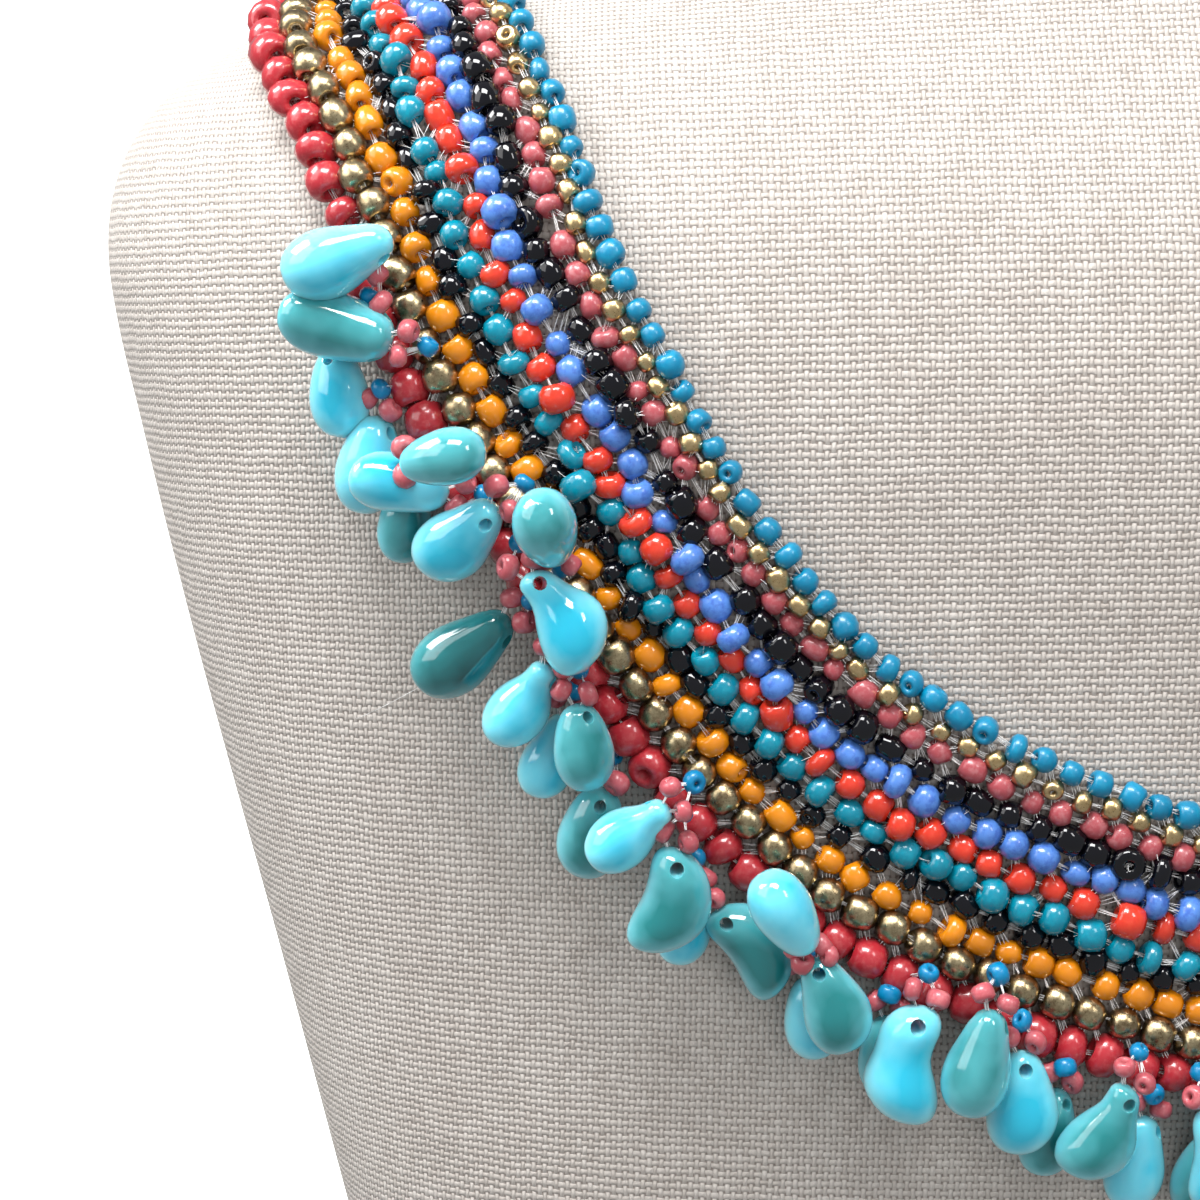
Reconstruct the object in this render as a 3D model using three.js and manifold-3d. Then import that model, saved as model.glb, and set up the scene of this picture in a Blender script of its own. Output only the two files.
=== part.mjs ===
// A bib necklace on a neck bust.
// Eleven woven rows of glass beads go round the neck, a fringe of glass drops hangs from the
// outer row, and the whole collar lies on a linen-covered bust. Millimetres, +Z up, and the
// bust faces -Y. The origin is on the ground, under the middle of the whole.

import * as THREE from 'three';
import { mergeVertices } from 'three/addons/utils/BufferGeometryUtils.js';
import Module from 'manifold-3d';

const wasm = await Module();
wasm.setup();

// Driving sizes of the bust
const bodyHeight = 171;
const neckHeight = 74;
const shoulderHalf = 114;
const chestDepth = 52;
const backDepth = 44;
const neckHalf = 50;
const neckFront = 38;
const neckBack = 42;
const squareness = 0.1;

// Driving sizes of the collar
const clearance = 0.6;
const packing = 0.93;
const valleyShare = 0.62;
const borderShare = 0.45;
const claspWidth = 6;
const claspThickness = 3.2;
const claspGap = 0.3;
const beadSizes = {
  turquoise: 2.15,
  gold: 1.95,
  pink: 2.1,
  black: 2.3,
  blue: 2.6,
  orangeRed: 2.4,
  teal: 2.5,
  secondBlack: 2.1,
  orange: 2.45,
  bronze: 3.0,
  red: 3.7,
};

// Driving sizes of the fringe
const edgeThread = 1.9;
const stemWidth = 1.6;
const stemBow = 0.6;
const stemKnee = 0.75;
const dropLength = 9.4;
const dropWidth = 6.1;
const fringeReach = 130;
const fringeMiddleGap = 0.6;
const threadGap = 0.35;

// Detail of the meshes
const bustSides = 28;
const ringsPerSection = 2;
const collarColumns = 64;
const shoulderCrowding = 0.35;
const claspColumns = 4;
const dropSides = 10;
const stemSides = 4;
const threadSides = 5;
const threadSteps = 18;
const underTracks = [1, 5, 9, 13, 17, 21];

// Steps of the searches and sums along the surface
const halvings = 40;
const edgeSteps = 600;
const smallStep = 1e-4;
const smallLength = 0.5;

// Sections of the bust's body, from the base to the root of the neck.
// Columns: height as a share of bodyHeight, half width as a share of shoulderHalf,
// front depth as a share of chestDepth, back depth as a share of backDepth.
const bodySections = [
  [0.000, 0.690, 0.60, 0.80],
  [0.018, 0.712, 0.63, 0.84],
  [0.082, 0.737, 0.68, 0.88],
  [0.234, 0.796, 0.79, 0.92],
  [0.410, 0.862, 0.88, 0.95],
  [0.573, 0.925, 0.95, 0.98],
  [0.713, 0.974, 1.00, 1.00],
  [0.807, 1.000, 0.98, 1.00],
  [0.871, 0.980, 0.91, 0.97],
  [0.918, 0.912, 0.84, 0.93],
  [0.959, 0.780, 0.78, 0.91],
  [1.000, 0.640, 0.71, 0.90],
];

// Sections of the neck, from its root to its flat top.
// Columns: height above the root as a share of neckHeight, half width as a share of neckHalf,
// front depth as a share of neckFront, back depth as a share of neckBack.
const neckSections = [
  [0.12, 1.15, 0.95, 0.94],
  [0.32, 1.01, 0.96, 0.95],
  [0.63, 0.97, 0.98, 0.97],
  [0.94, 1.00, 1.02, 1.00],
  [1.00, 0.97, 0.99, 0.97],
];

// Inner edge of the collar on the bust, from the middle of the front to the middle of the back.
// Columns: heading round the neck in degrees, height as a share of bodyHeight.
const neckline = [
  [0, 0.506],
  [16, 0.516],
  [32, 0.552],
  [42, 0.597],
  [48.5, 0.661],
  [53, 0.742],
  [57.5, 0.819],
  [62.3, 0.888],
  [70, 0.947],
  [88, 1.005],
  [120, 1.030],
  [150, 1.040],
  [180, 1.042],
];

// How close the rows lie along the collar, from the middle of the front to the middle of the back.
// Columns: place along the half collar, share of the full row pitch.
const rowCloseness = [
  [0.00, 1.00],
  [0.17, 1.00],
  [0.25, 0.86],
  [0.30, 0.85],
  [0.34, 0.91],
  [0.44, 0.90],
  [0.60, 0.95],
  [1.00, 1.00],
];

// Outline of a pressed-glass drop, from its drilled narrow end to its round end.
// Columns: place as a share of the drop's length, width as a share of its greatest width.
const dropProfile = [
  [0.00, 0.00],
  [0.10, 0.50],
  [0.62, 1.00],
  [0.92, 0.62],
  [1.00, 0.00],
];

// The drops of one side, from the middle of the front out to the shoulder. The other side is
// the same, turned about.
// Columns: place as a share of fringeReach, then the drilled end's distance outside the edge
// thread and its height over the bust as shares of dropWidth, lean towards the front in degrees,
// rise of the round end as a share of dropWidth, size as a share of the full size.
const drops = [
  [0.026, 0.20, 0.56, -10, -0.02, 1.00],
  [0.054, -0.40, 1.31, 8, 0.00, 0.96],
  [0.086, 0.20, 0.56, -12, -0.02, 1.02],
  [0.114, -0.33, 1.31, 18, -0.03, 1.00],
  [0.144, 0.23, 0.56, 4, -0.02, 0.96],
  [0.172, -0.43, 1.31, -12, -0.05, 1.04],
  [0.207, 0.20, 0.56, 10, -0.02, 0.90],
  [0.245, -0.31, 1.00, 22, -0.10, 1.06],
  [0.279, -0.84, 1.34, 11, 0.03, 1.08],
  [0.320, -0.41, 1.12, 16, 0.10, 1.18],
  [0.333, 0.16, 0.56, 24, 0.00, 0.80],
  [0.392, 0.20, 0.56, 39, 0.00, 0.84],
  [0.403, -0.36, 1.31, 55, -0.05, 1.00],
  [0.408, -0.46, 1.48, -116, 0.20, 0.92],
  [0.469, 0.28, 0.66, 85, -0.11, 1.02],
  [0.492, 0.20, 0.56, 36, -0.02, 0.84],
  [0.523, -0.23, 1.28, 38, -0.05, 1.08],
  [0.549, -0.62, 1.44, 1, -0.11, 0.94],
  [0.579, 0.30, 0.62, 41, -0.09, 0.95],
  [0.634, 0.20, 0.56, 36, -0.02, 0.88],
  [0.640, -0.31, 1.21, 64, -0.03, 0.86],
  [0.672, -0.31, 1.21, 23, -0.11, 0.95],
  [0.711, -0.03, 0.82, 7, 0.09, 1.14],
  [0.731, -0.87, 1.44, 92, -0.07, 1.05],
  [0.731, -1.30, 1.23, -128, 1.05, 0.94],
  [0.774, -1.07, 1.36, 3, -0.20, 1.03],
  [0.800, -0.54, 1.15, -43, 0.17, 0.96],
  [0.823, 0.20, 0.56, 49, -0.03, 0.80],
  [0.830, -0.51, 1.90, 160, -0.06, 0.84],
  [0.871, 0.13, 0.57, 48, -0.07, 0.98],
  [0.905, -0.93, 1.21, -40, 0.16, 1.12],
  [0.924, 0.28, 0.60, 72, 0.04, 0.86],
  [0.964, -1.56, 1.31, -2, 0.23, 1.12],
];

// Value of a table at a place, straight between its rows
function lookUp(table, place) {
  const next = table.findIndex((row) => row[0] > place);
  if (next < 0) return table[table.length - 1][1];
  if (next === 0) return table[0][1];
  const [from, to] = [table[next - 1], table[next]];
  return THREE.MathUtils.mapLinear(place, from[0], to[0], from[1], to[1]);
}

// The bust's surface

const sections = [
  ...bodySections.map(([height, width, front, back]) => [
    height * bodyHeight,
    width * shoulderHalf,
    front * chestDepth,
    back * backDepth,
  ]),
  ...neckSections.map(([height, width, front, back]) => [
    bodyHeight + height * neckHeight,
    width * neckHalf,
    front * neckFront,
    back * neckBack,
  ]),
];
const lastSection = sections.length - 1;

// A smooth curve through four values, at a share of the way from the second to the third
function smoothValue(a, b, c, d, share) {
  const bend = 2 * a - 5 * b + 4 * c - d + share * (3 * (b - c) + d - a);
  return b + 0.5 * share * (c - a + share * bend);
}

// One row of a table between its rows, with the ends carried straight on
function smoothRow(rows, place) {
  const last = rows.length - 1;
  const index = THREE.MathUtils.clamp(Math.floor(place), 0, last - 1);
  const row = (i, column) => {
    if (i < 0) return 2 * rows[0][column] - rows[1][column];
    if (i > last) return 2 * rows[last][column] - rows[last - 1][column];
    return rows[i][column];
  };
  return rows[0].map((_, column) => smoothValue(
    row(index - 1, column),
    row(index, column),
    row(index + 1, column),
    row(index + 2, column),
    place - index,
  ));
}

// A point of the surface: its level counts sections, and its turn goes round from the front
function surfacePoint(level, turn) {
  const [height, width, front, back] = smoothRow(sections, level);
  const [sine, cosine] = [Math.sin(turn), Math.cos(turn)];
  const depth = cosine > 0 ? front : back;
  return new THREE.Vector3(
    width * sine * (1 + squareness * cosine * cosine),
    -depth * cosine * (1 + squareness * sine * sine),
    height,
  );
}

// The two directions along the surface at a point, and its outward normal
function surfaceFrame(level, turn) {
  const alongLevel = surfacePoint(level + smallStep, turn)
    .sub(surfacePoint(level - smallStep, turn))
    .divideScalar(2 * smallStep);
  const alongTurn = surfacePoint(level, turn + smallStep)
    .sub(surfacePoint(level, turn - smallStep))
    .divideScalar(2 * smallStep);
  const normal = alongTurn.clone().cross(alongLevel).normalize();
  return { alongLevel, alongTurn, normal };
}

// The place on the surface at a heading and a height
function placeAt(heading, height) {
  let [low, high] = [0, lastSection];
  for (let step = 0; step < halvings; step += 1) {
    const middle = (low + high) / 2;
    if (surfacePoint(middle, 0).z < height) low = middle;
    else high = middle;
  }
  const level = low;
  [low, high] = [0, Math.PI];
  for (let step = 0; step < halvings; step += 1) {
    const middle = (low + high) / 2;
    const point = surfacePoint(level, middle);
    if (Math.atan2(point.x, -point.y) < heading) low = middle;
    else high = middle;
  }
  return { level, turn: low };
}

// A place moved a small way over the surface
function movedPlace(place, step) {
  const { alongLevel, alongTurn } = surfaceFrame(place.level, place.turn);
  const levelLevel = alongLevel.dot(alongLevel);
  const levelTurn = alongLevel.dot(alongTurn);
  const turnTurn = alongTurn.dot(alongTurn);
  const levelStep = alongLevel.dot(step);
  const turnStep = alongTurn.dot(step);
  const area = levelLevel * turnTurn - levelTurn * levelTurn;
  return {
    level: place.level + (levelStep * turnTurn - turnStep * levelTurn) / area,
    turn: place.turn + (turnStep * levelLevel - levelStep * levelTurn) / area,
  };
}

const pointOf = (place) => surfacePoint(place.level, place.turn);

// A closed mesh from rings of points that run the same way, with its two ends closed
function loftedGeometry(rings, capFaces) {
  const sides = rings[0].length;
  const faces = [];
  for (let ring = 0; ring + 1 < rings.length; ring += 1) {
    for (let side = 0; side < sides; side += 1) {
      const next = (side + 1) % sides;
      const [here, above] = [ring * sides, (ring + 1) * sides];
      faces.push(here + side, here + next, above + next);
      faces.push(here + side, above + next, above + side);
    }
  }
  const last = (rings.length - 1) * sides;
  for (const [a, b, c] of capFaces) {
    faces.push(c, b, a);
    faces.push(last + a, last + b, last + c);
  }
  const geometry = new THREE.BufferGeometry().setFromPoints(rings.flat());
  geometry.setIndex(faces);
  geometry.computeVertexNormals();
  return geometry;
}

// Triangles that close a ring whose points are given on a flat sheet
function flatCap(outline) {
  return THREE.ShapeUtils.triangulateShape(outline, []);
}

function bustGeometry() {
  const rings = [];
  for (let step = 0; step <= lastSection * ringsPerSection; step += 1) {
    const level = step / ringsPerSection;
    const ring = [];
    for (let side = 0; side < bustSides; side += 1) {
      ring.push(surfacePoint(level, (2 * Math.PI * side) / bustSides));
    }
    rings.push(ring);
  }
  const outline = rings[0].map((point) => new THREE.Vector2(point.x, point.y));
  return loftedGeometry(rings, flatCap(outline));
}

// The rows of the collar

// Places along the inner edge, an even way apart, all round from the back to the back
function innerEdge(columns) {
  const half = [];
  for (let step = 0; step <= edgeSteps; step += 1) {
    const [heading, height] = smoothRow(neckline, ((neckline.length - 1) * step) / edgeSteps);
    half.push(placeAt(THREE.MathUtils.degToRad(heading), height * bodyHeight));
  }
  const lengths = [0];
  for (let step = 1; step <= edgeSteps; step += 1) {
    lengths.push(lengths[step - 1] + pointOf(half[step]).distanceTo(pointOf(half[step - 1])));
  }
  const total = lengths[edgeSteps];
  const places = columns.map((share) => {
    const beyond = Math.abs(share) > 1;
    const along = (beyond ? 2 - Math.abs(share) : Math.abs(share)) * total;
    const found = lengths.findIndex((length) => length > along);
    const index = found < 0 ? edgeSteps : Math.max(1, found);
    const part = (along - lengths[index - 1]) / (lengths[index] - lengths[index - 1]);
    const [from, to] = [half[index - 1], half[index]];
    const turn = THREE.MathUtils.lerp(from.turn, to.turn, part);
    return {
      level: THREE.MathUtils.lerp(from.level, to.level, part),
      turn: Math.sign(share) * (beyond ? 2 * Math.PI - turn : turn),
    };
  });
  return { places, total };
}

// The next row outward: every place moves square to its row, by its own distance
function nextRow(places, distanceAt) {
  return places.map((place, column) => {
    const before = places[Math.max(column - 1, 0)];
    const after = places[Math.min(column + 1, places.length - 1)];
    const { normal } = surfaceFrame(place.level, place.turn);
    const along = pointOf(after).sub(pointOf(before));
    const outward = along.cross(normal).normalize();
    return movedPlace(place, outward.multiplyScalar(distanceAt(column)));
  });
}

const sizes = Object.values(beadSizes);

// Tracks across the collar, from its inner to its outer border: a crest on each row of beads
// and a valley between two rows. Each track has its places, its height and its distance across.
function collarTracks(columns) {
  const inner = innerEdge(columns);
  const closeness = columns.map((share) => lookUp(rowCloseness, Math.abs(share)));
  const tracks = [];
  let places = inner.places;
  let across = 0;
  const walk = (distance, height) => {
    places = nextRow(places, (column) => distance * closeness[column]);
    across += distance;
    tracks.push({ places, height, across });
  };
  walk(-borderShare * sizes[0], sizes[0] / 2);
  walk(borderShare * sizes[0], sizes[0]);
  for (let row = 1; row < sizes.length; row += 1) {
    const halfPitch = (packing * (sizes[row - 1] + sizes[row])) / 4;
    walk(halfPitch, valleyShare * Math.min(sizes[row - 1], sizes[row]));
    walk(halfPitch, sizes[row]);
  }
  const outerSize = sizes[sizes.length - 1];
  walk(borderShare * outerSize, outerSize / 2);
  return tracks;
}

// The point over a place, at a height square to the surface
function pointOver(place, height) {
  const { normal } = surfaceFrame(place.level, place.turn);
  return pointOf(place).addScaledVector(normal, height);
}

// A band along the tracks: its top follows the given tracks at their heights, its underside is flat
function bandGeometry(topTracks, lowTracks) {
  const top = topTracks.map((track) => ({ ...track, lift: clearance + track.height }));
  const under = lowTracks.map((track) => ({ ...track, lift: clearance })).reverse();
  const outline = [...top, ...under];
  const rings = topTracks[0].places.map((_, column) => (
    outline.map((track) => pointOver(track.places[column], track.lift))
  ));
  const sheet = outline.map((track) => new THREE.Vector2(track.lift, track.across));
  return loftedGeometry(rings, flatCap(sheet));
}

// Shares along the collar from one end to the other, where 0 is the middle of the front and 1 the
// middle of the back. They lie closer together over the shoulders, where the bust turns most.
function collarShares(end, count) {
  return Array.from({ length: count + 1 }, (_, step) => {
    const even = (2 * step) / count - 1;
    return end * (even + (shoulderCrowding * Math.sin(2 * Math.PI * even)) / (2 * Math.PI));
  });
}

const halfCollar = innerEdge([0]).total;
const bandEnd = 1 - (claspWidth / 2 + claspGap) / halfCollar;
const bandTracks = collarTracks(collarShares(bandEnd, collarColumns));

function bandSolid() {
  return bandGeometry(bandTracks, underTracks.map((index) => bandTracks[index]));
}

// A slide clasp across the back, as wide as the band, that joins its two ends
function claspSolid() {
  const reach = claspWidth / 2 / halfCollar;
  const claspShares = Array.from({ length: claspColumns + 1 }, (_, step) => (
    THREE.MathUtils.lerp(1 - reach, 1 + reach, step / claspColumns)
  ));
  const tracks = collarTracks(claspShares);
  const flatTracks = tracks.map((track) => ({ ...track, height: claspThickness }));
  const [inner, outer] = [flatTracks[0], flatTracks[flatTracks.length - 1]];
  inner.height = claspThickness / 2;
  outer.height = claspThickness / 2;
  const between = underTracks.map((index) => flatTracks[index]);
  return bandGeometry([inner, ...between, outer], between);
}

// The fringe

// Places on the edge thread, which lies just outside the outer row of beads
const outerRow = bandTracks[bandTracks.length - 1].places;
const threadStep = threadGap + edgeThread / 2;
const threadRow = nextRow(outerRow, () => threadStep);

// The place on the edge thread at a length from the middle of the front, negative to the left
function threadPlace(length) {
  const middle = collarColumns / 2;
  const direction = Math.sign(length) || 1;
  let column = middle;
  let left = Math.abs(length);
  for (;;) {
    const [here, next] = [threadRow[column], threadRow[column + direction]];
    const span = pointOf(here).distanceTo(pointOf(next));
    if (left <= span) {
      const part = left / span;
      return {
        level: THREE.MathUtils.lerp(here.level, next.level, part),
        turn: THREE.MathUtils.lerp(here.turn, next.turn, part),
      };
    }
    left -= span;
    column += direction;
  }
}

// The directions at a place of the edge thread: along it, outward over the bust, and up off it
function threadFrame(length) {
  const place = threadPlace(length);
  const { normal } = surfaceFrame(place.level, place.turn);
  const along = pointOf(threadPlace(length + smallLength))
    .sub(pointOf(threadPlace(length - smallLength)));
  const outward = along.clone().cross(normal).normalize();
  const sideways = normal.clone().cross(outward).normalize();
  return { place, normal, outward, sideways };
}

function toSolid(geometry) {
  const bare = new THREE.BufferGeometry();
  bare.setAttribute('position', geometry.getAttribute('position'));
  bare.setIndex(geometry.getIndex());
  const merged = mergeVertices(bare, 1e-5);
  return new wasm.Manifold(new wasm.Mesh({
    numProp: 3,
    vertProperties: new Float32Array(merged.getAttribute('position').array),
    triVerts: new Uint32Array(merged.getIndex().array),
  }));
}

function toGeometry(solid) {
  const mesh = solid.getMesh();
  const geometry = new THREE.BufferGeometry();
  geometry.setAttribute('position', new THREE.BufferAttribute(mesh.vertProperties, 3));
  geometry.setIndex(new THREE.BufferAttribute(mesh.triVerts, 1));
  geometry.computeVertexNormals();
  return geometry;
}

const upright = new THREE.Vector3(0, 1, 0);

// A closed tube through points, with its sides turned to a direction that lies across it
function tubeGeometry(points, across, width, sides) {
  const last = points.length - 1;
  const rings = points.map((point, index) => {
    const along = points[Math.min(index + 1, last)].clone().sub(points[Math.max(index - 1, 0)]);
    const first = along.clone().cross(across).normalize();
    const second = first.clone().cross(along).normalize();
    return Array.from({ length: sides }, (_, corner) => {
      const angle = (2 * Math.PI * (corner + 0.5)) / sides;
      return point.clone()
        .addScaledVector(first, (Math.cos(angle) * width) / 2)
        .addScaledVector(second, (-Math.sin(angle) * width) / 2);
    });
  });
  const cap = Array.from({ length: sides - 2 }, (_, corner) => [0, corner + 1, corner + 2]);
  return loftedGeometry(rings, cap);
}

// The edge thread with its small beads, as a plain cord on one side of the front
function threadGeometry(side) {
  const points = Array.from({ length: threadSteps + 1 }, (_, step) => {
    const length = THREE.MathUtils.lerp(fringeMiddleGap / 2, fringeReach, step / threadSteps);
    return pointOver(threadPlace(side * length), clearance + edgeThread / 2);
  });
  return tubeGeometry(points, upright, edgeThread, threadSides);
}

// One drop, turned about the line between its two ends, and the bowed stem that it hangs by
function dropGeometries(side, [along, outside, height, lean, rise, size]) {
  const { place, normal, outward, sideways } = threadFrame(side * along * fringeReach);
  const angle = THREE.MathUtils.degToRad(lean);
  const length = size * dropLength;
  const lift = rise * dropWidth;
  const flat = Math.sqrt(length * length - lift * lift);
  const drilled = pointOver(place, height * dropWidth)
    .addScaledVector(outward, outside * dropWidth);
  const direction = normal.clone().multiplyScalar(lift)
    .addScaledVector(outward, Math.cos(angle) * flat)
    .addScaledVector(sideways, -side * Math.sin(angle) * flat)
    .divideScalar(length);
  const profile = dropProfile.map(([share, width]) => (
    new THREE.Vector2((width * size * dropWidth) / 2, share * length)
  ));
  const drop = new THREE.LatheGeometry(profile, dropSides);
  drop.applyQuaternion(new THREE.Quaternion().setFromUnitVectors(upright, direction));
  drop.translate(drilled.x, drilled.y, drilled.z);
  const stemPoints = [
    pointOver(place, clearance + edgeThread / 2),
    pointOver(place, stemKnee * height * dropWidth).addScaledVector(outward, stemBow),
    drilled.clone().addScaledVector(direction, stemWidth),
  ];
  return [drop, tubeGeometry(stemPoints, sideways, stemWidth, stemSides)];
}

function fringeSolid(side) {
  let solid = toSolid(threadGeometry(side));
  for (const row of drops) {
    for (const geometry of dropGeometries(side, row)) solid = solid.add(toSolid(geometry));
  }
  return toGeometry(solid);
}

function part(name, geometry, color, roughness, metalness) {
  const material = new THREE.MeshStandardMaterial({ color, roughness, metalness });
  const mesh = new THREE.Mesh(geometry, material);
  mesh.name = name;
  return mesh;
}

const necklaceOnBust = new THREE.Group();
necklaceOnBust.add(
  part('bust_form', bustGeometry(), 0xc8beb2, 0.95, 0),
  part('woven_band', bandSolid(), 0x2a6f9e, 0.4, 0),
  part('drop_fringe_left', fringeSolid(-1), 0x64d7f0, 0.15, 0),
  part('drop_fringe_right', fringeSolid(1), 0x50b4b4, 0.15, 0),
  part('back_clasp', claspSolid(), 0xb8b0a0, 0.3, 1),
);

// The origin is on the ground under the middle of the whole
const whole = new THREE.Box3().setFromObject(necklaceOnBust);
const middle = whole.getCenter(new THREE.Vector3());
necklaceOnBust.position.set(-middle.x, -middle.y, -whole.min.z);

export default necklaceOnBust;
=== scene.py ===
# Bib necklace on a linen neck bust

import math

import bpy
import numpy as np
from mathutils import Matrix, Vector


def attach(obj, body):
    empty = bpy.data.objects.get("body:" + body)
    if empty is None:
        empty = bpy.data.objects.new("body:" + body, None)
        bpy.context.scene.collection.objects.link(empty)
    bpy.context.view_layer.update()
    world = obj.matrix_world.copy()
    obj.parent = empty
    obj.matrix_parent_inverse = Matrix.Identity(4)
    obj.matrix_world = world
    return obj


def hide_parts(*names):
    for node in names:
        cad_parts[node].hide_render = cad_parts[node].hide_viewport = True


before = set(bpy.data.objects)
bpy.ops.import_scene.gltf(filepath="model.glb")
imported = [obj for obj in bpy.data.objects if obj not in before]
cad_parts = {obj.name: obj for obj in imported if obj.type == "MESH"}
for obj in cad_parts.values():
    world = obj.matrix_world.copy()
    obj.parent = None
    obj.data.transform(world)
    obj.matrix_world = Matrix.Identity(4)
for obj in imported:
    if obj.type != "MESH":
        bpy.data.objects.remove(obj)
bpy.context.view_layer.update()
bpy.ops.object.select_all(action="DESELECT")
mm = 0.001

# Neck bust
# A moulded jewellery bust, covered in a plain linen that is stretched over it and glued in
# under the base. Its threads are thick and uneven, with painted shade in the small gaps
# between them.

thread_across = 0.57 * mm
thread_up = 0.76 * mm
linen_light = (0.61, 0.57, 0.53, 1)
linen_dark = (0.42, 0.37, 0.33, 1)
# The gap colour is painted shade between the threads
linen_gap_shade = (0.25, 0.215, 0.19, 1)
bust_columns = 168
bust_rows = 176
neck_rim = 1.6 * mm
least_ring_step = 0.05 * mm


def rings_of(node):
    """The node's own rings of points, from the base up, each in order round from the front."""
    points = np.array([vertex.co for vertex in node.data.vertices])
    points = np.unique(points.round(6), axis=0)
    heights = points[:, 2]
    levels = np.sort(heights)
    levels = levels[np.concatenate([[True], np.diff(levels) > least_ring_step])]
    rings = [points[np.abs(heights - level) < least_ring_step] for level in levels]
    widest = max(rings, key=lambda ring: np.ptp(ring[:, 0]))
    axis_y = widest[widest[:, 0].argmax(), 1]
    slack = 0.02
    ordered = []
    for ring in rings:
        heading = np.arctan2(ring[:, 0], axis_y - ring[:, 1])
        ordered.append(ring[np.argsort((heading + slack) % (2 * math.pi))])
    return np.array(ordered), axis_y


bust_rings, axis_y = rings_of(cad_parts["bust_form"])
ring_count, side_count = bust_rings.shape[:2]
ring_stack = np.concatenate([
    [2 * bust_rings[0] - bust_rings[1]],
    bust_rings,
    [2 * bust_rings[-1] - bust_rings[-2]],
])


def curve_weights(share):
    """How much each of four neighbours counts, at a share of the way from the second to the third."""
    return 0.5 * np.stack([
        -share + 2 * share**2 - share**3,
        2 - 5 * share**2 + 3 * share**3,
        share + 4 * share**2 - 3 * share**3,
        share**3 - share**2,
    ])


def bust_point(place):
    """Points on the bust. A place has a level, counted in rings, and a turn round from the front."""
    level, turn = place[..., 0], place[..., 1] * side_count / (2 * math.pi)
    ring = np.clip(np.floor(level).astype(int), 0, ring_count - 2)
    side = np.floor(turn).astype(int)
    up = curve_weights(level - ring)
    round_it = curve_weights(turn - side)
    point = np.zeros(level.shape + (3,))
    for i in range(4):
        for k in range(4):
            corner = ring_stack[ring + i, (side - 1 + k) % side_count]
            point += (up[i] * round_it[k])[..., None] * corner
    return point


def unit(vectors):
    """The same directions with a length of 1."""
    return vectors / np.linalg.norm(vectors, axis=-1, keepdims=True)


def bust_frame(place):
    """Directions up the surface and round it at each place, and the outward normal."""
    nudge = 1e-3
    up_step, turn_step = np.array([nudge, 0]), np.array([0, nudge])
    up = (bust_point(place + up_step) - bust_point(place - up_step)) / (2 * nudge)
    turn = (bust_point(place + turn_step) - bust_point(place - turn_step)) / (2 * nudge)
    return up, turn, unit(np.cross(turn, up))


def bust_mesh():
    """A fine grid bent round the form, with its seam joined and its two ends closed."""
    bpy.ops.mesh.primitive_grid_add(x_subdivisions=bust_columns, y_subdivisions=bust_rows, size=1)
    bust = bpy.context.object
    bust.name = "linen_neck_bust"
    mesh = bust.data
    flat = np.array([vertex.co for vertex in mesh.vertices])
    column = np.rint((flat[:, 0] + 0.5) * bust_columns).astype(int)
    row = np.rint((flat[:, 1] + 0.5) * bust_rows).astype(int)
    levels = np.linspace(0, ring_count - 1, bust_rows + 1)
    turns = np.linspace(-math.pi, math.pi, bust_columns + 1)
    grid = np.stack(np.meshgrid(levels, turns, indexing="ij"), -1)
    points = bust_point(grid)
    mesh.vertices.foreach_set("co", points[row, column].ravel())
    across = np.linalg.norm(np.diff(points, axis=1), axis=-1).cumsum(1)
    across = np.pad(across, ((0, 0), (1, 0)))
    across -= across[:, bust_columns // 2:bust_columns // 2 + 1]
    upward = np.linalg.norm(np.diff(points, axis=0), axis=-1).cumsum(0)
    upward = np.pad(upward, ((1, 0), (0, 0)))
    lengths = mesh.uv_layers[0]
    lengths.name = "thread_lengths"
    corner = np.array([loop.vertex_index for loop in mesh.loops])
    cloth = np.stack([across[row, column], upward[row, column]], -1)[corner]
    lengths.data.foreach_set("uv", cloth.ravel())
    mesh.update()
    bpy.ops.object.mode_set(mode="EDIT")
    bpy.ops.mesh.select_all(action="SELECT")
    bpy.ops.mesh.remove_doubles(threshold=1e-6)
    bpy.ops.mesh.select_all(action="DESELECT")
    bpy.ops.mesh.select_mode(type="EDGE")
    bpy.ops.mesh.select_non_manifold()
    bpy.ops.mesh.fill_holes(sides=0)
    bpy.ops.mesh.select_mode(type="FACE")
    bpy.ops.object.mode_set(mode="OBJECT")
    for face in mesh.polygons:
        face.select = len(face.vertices) > 4
    bpy.ops.object.mode_set(mode="EDIT")
    bpy.ops.mesh.inset(thickness=neck_rim)
    bpy.ops.mesh.poke()
    bpy.ops.mesh.select_all(action="SELECT")
    bpy.ops.mesh.normals_make_consistent(inside=False)
    bpy.ops.object.mode_set(mode="OBJECT")
    bpy.ops.object.shade_smooth_by_angle(angle=math.radians(50))
    return bust


def new_group(name, inputs, outputs):
    """An empty shader node group, and a short way to add calculations to it."""
    tree = bpy.data.node_groups.new(name, "ShaderNodeTree")
    for label, kind, value in inputs:
        socket = tree.interface.new_socket(label, in_out="INPUT", socket_type=kind)
        if value is not None:
            socket.default_value = value
    for label, kind in outputs:
        tree.interface.new_socket(label, in_out="OUTPUT", socket_type=kind)
    return tree, tree.nodes.new("NodeGroupInput").outputs, tree.nodes.new("NodeGroupOutput").inputs


def calculator(tree):
    """A function that adds one Math node to the tree and gives its result."""
    def calculate(operation, *values, clamp=False):
        node = tree.nodes.new("ShaderNodeMath")
        node.operation = operation
        node.use_clamp = clamp
        for socket, value in zip(node.inputs, values):
            if isinstance(value, (int, float)):
                socket.default_value = value
            else:
                tree.links.new(value, socket)
        return node.outputs[0]
    return calculate


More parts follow.
